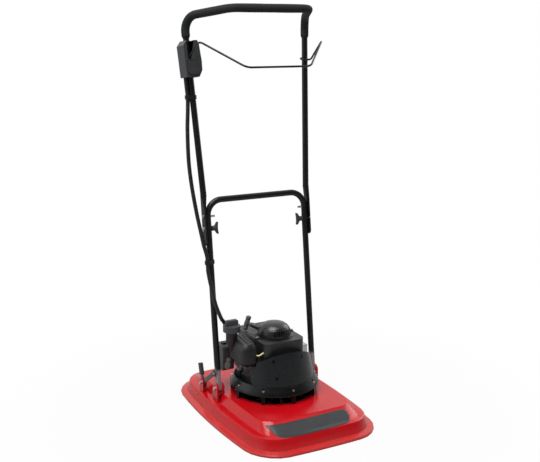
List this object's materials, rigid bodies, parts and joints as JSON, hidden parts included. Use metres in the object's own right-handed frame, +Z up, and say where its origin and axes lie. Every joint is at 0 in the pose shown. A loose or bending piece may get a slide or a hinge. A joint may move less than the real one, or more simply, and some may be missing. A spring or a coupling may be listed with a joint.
{
  "type": "hover_mower",
  "caption": "Petrol hover mower with a moulded red deck, legged engine base, recoil starter and two-part folding handle with a bail and control cable",
  "frame": {"origin": "centre of the deck's rim, on the ground", "axes": "front of the machine towards -Y, +X to the right as seen from in front, +Z up"},
  "size_m": [0.53, 0.76, 1.4489],
  "materials": {
    "red_shell": "glossy moulded",
    "black_plastic": "fine grain",
    "charcoal_plastic": "satin moulded",
    "tube_paint": "satin powder coat",
    "bail_paint": "gloss powder coat",
    "steel": "zinc plated",
    "dark_steel": "dark painted",
    "blade_steel": "rolled and ground",
    "cast_alloy": "as cast",
    "foam": "closed-cell foam",
    "cable_sleeve": "ribbed sleeve",
    "hose_yellow": "translucent hose",
    "rope": "braided cord",
    "grey_plastic": "plain",
    "exhaust_steel": "heat tinted"
  },
  "bodies": {
    "machine": {"deck": "red_shell", "pivot_bracket_left": "red_shell", "pivot_bracket_right": "red_shell", "latch_bracket": "red_shell", "pivot_bolts": "steel", "latch_bolt": "steel", "engine_base": "black_plastic", "base_bolts": "steel", "cowl": "black_plastic", "cowl_screws": "dark_steel", "crankcase": "cast_alloy", "cylinder": "cast_alloy", "cylinder_head": "cast_alloy", "spark_plug": "steel", "plug_boot": "cable_sleeve", "ignition_lead": "cable_sleeve", "blower_housing": "charcoal_plastic", "recoil_cover": "charcoal_plastic", "recoil_screws": "steel", "rope_guide": "charcoal_plastic", "fuel_tank": "charcoal_plastic", "fuel_hose": "hose_yellow", "air_cleaner_base": "black_plastic", "air_cleaner_cover": "charcoal_plastic", "air_cleaner_clip": "black_plastic", "carburettor": "cast_alloy", "muffler": "exhaust_steel", "muffler_guard": "steel", "control_bracket": "dark_steel", "cable_lower": "cable_sleeve"},
    "rotor": {"crankshaft": "steel", "flywheel": "cast_alloy", "impeller": "black_plastic", "blade_spacer": "black_plastic", "blade": "blade_steel", "blade_bolt": "steel"},
    "pulley": {"recoil_pulley": "black_plastic"},
    "starter": {"starter_grip": "black_plastic", "starter_rope": "rope"},
    "filler_cap": {"fuel_cap": "black_plastic"},
    "oil_filler": {"oil_cap": "black_plastic"},
    "choke": {"choke_lever": "grey_plastic"},
    "latch": {"latch_lever": "dark_steel", "latch_grip": "black_plastic"},
    "lower": {"lower_handle": "tube_paint", "latch_pin": "steel", "fold_pins": "steel", "knob_bolts": "steel", "cable_clip_lower": "black_plastic", "cable_upper": "cable_sleeve"},
    "knob_left": {"wing_knob_left": "black_plastic"},
    "knob_right": {"wing_knob_right": "black_plastic"},
    "upper": {"upper_handle": "tube_paint", "foam_grip": "foam", "control_housing": "black_plastic", "control_cover": "black_plastic", "control_screws": "steel", "cable_clip_upper": "black_plastic"},
    "bail_wire": {"bail": "bail_paint"}
  },
  "joints": [
    {"name": "rotor_spin", "type": "hinge", "parent": "machine", "child": "rotor", "pos_m": [0, -0.01, 0.02], "axis": [0, 0, 1], "continuous": true},
    {"name": "starter_pull", "type": "slide", "parent": "machine", "child": "starter", "axis": [-0.5974, 0.7646, 0.2419], "range_m": [0, 0.5], "stiffness_N_per_m": 20, "springref_m": -0.3, "deforming": ["starter_rope"]},
    {"name": "pulley_spin", "type": "hinge", "parent": "machine", "child": "pulley", "pos_m": [0, -0.01, 0.295], "axis": [0, 0, 1], "range_deg": [0, 740]},
    {"name": "fuel_cap_turn", "type": "hinge", "parent": "machine", "child": "filler_cap", "pos_m": [-0.159, 0.014, 0.33], "axis": [0, 0, 1], "continuous": true},
    {"name": "oil_cap_turn", "type": "hinge", "parent": "machine", "child": "oil_filler", "pos_m": [-0.118, 0.034, 0.165], "axis": [0, 0, 1], "continuous": true},
    {"name": "choke_turn", "type": "hinge", "parent": "machine", "child": "choke", "pos_m": [-0.152, 0.056, 0.194], "axis": [0, 1, 0], "range_deg": [0, 40]},
    {"name": "handle_pivot", "type": "hinge", "parent": "machine", "child": "lower", "pos_m": [0, 0.048, 0.097], "axis": [1, 0, 0], "range_deg": [-60, 0], "deforming": ["cable_lower"]},
    {"name": "handle_latch", "type": "hinge", "parent": "machine", "child": "latch", "pos_m": [-0.21175, 0.154, 0.084], "axis": [1, 0, 0], "range_deg": [-50, 0]},
    {"name": "left_knob_turn", "type": "hinge", "parent": "lower", "child": "knob_left", "pos_m": [-0.175, 0.1159, 0.67502], "axis": [1, 0, 0], "continuous": true},
    {"name": "right_knob_turn", "type": "hinge", "parent": "lower", "child": "knob_right", "pos_m": [0.175, 0.1159, 0.67502], "axis": [1, 0, 0], "continuous": true},
    {"name": "upper_handle_fold", "type": "hinge", "parent": "lower", "child": "upper", "pos_m": [0, 0.12104, 0.71872], "axis": [1, 0, 0], "range_deg": [0, 120], "deforming": ["cable_upper"]},
    {"name": "bail_lift", "type": "hinge", "parent": "upper", "child": "bail_wire", "pos_m": [0, 0.18474, 1.261], "axis": [-1, 0, 0], "range_deg": [0, 42], "stiffness_Nm_per_rad": 0.8, "springref_deg": -22.92}
  ],
  "couplings": [
    {"joint": "handle_latch", "follows": "handle_pivot", "ratio": 0.8},
    {"joint": "pulley_spin", "follows": "starter_pull", "rad_per_m": 25.641}
  ]
}
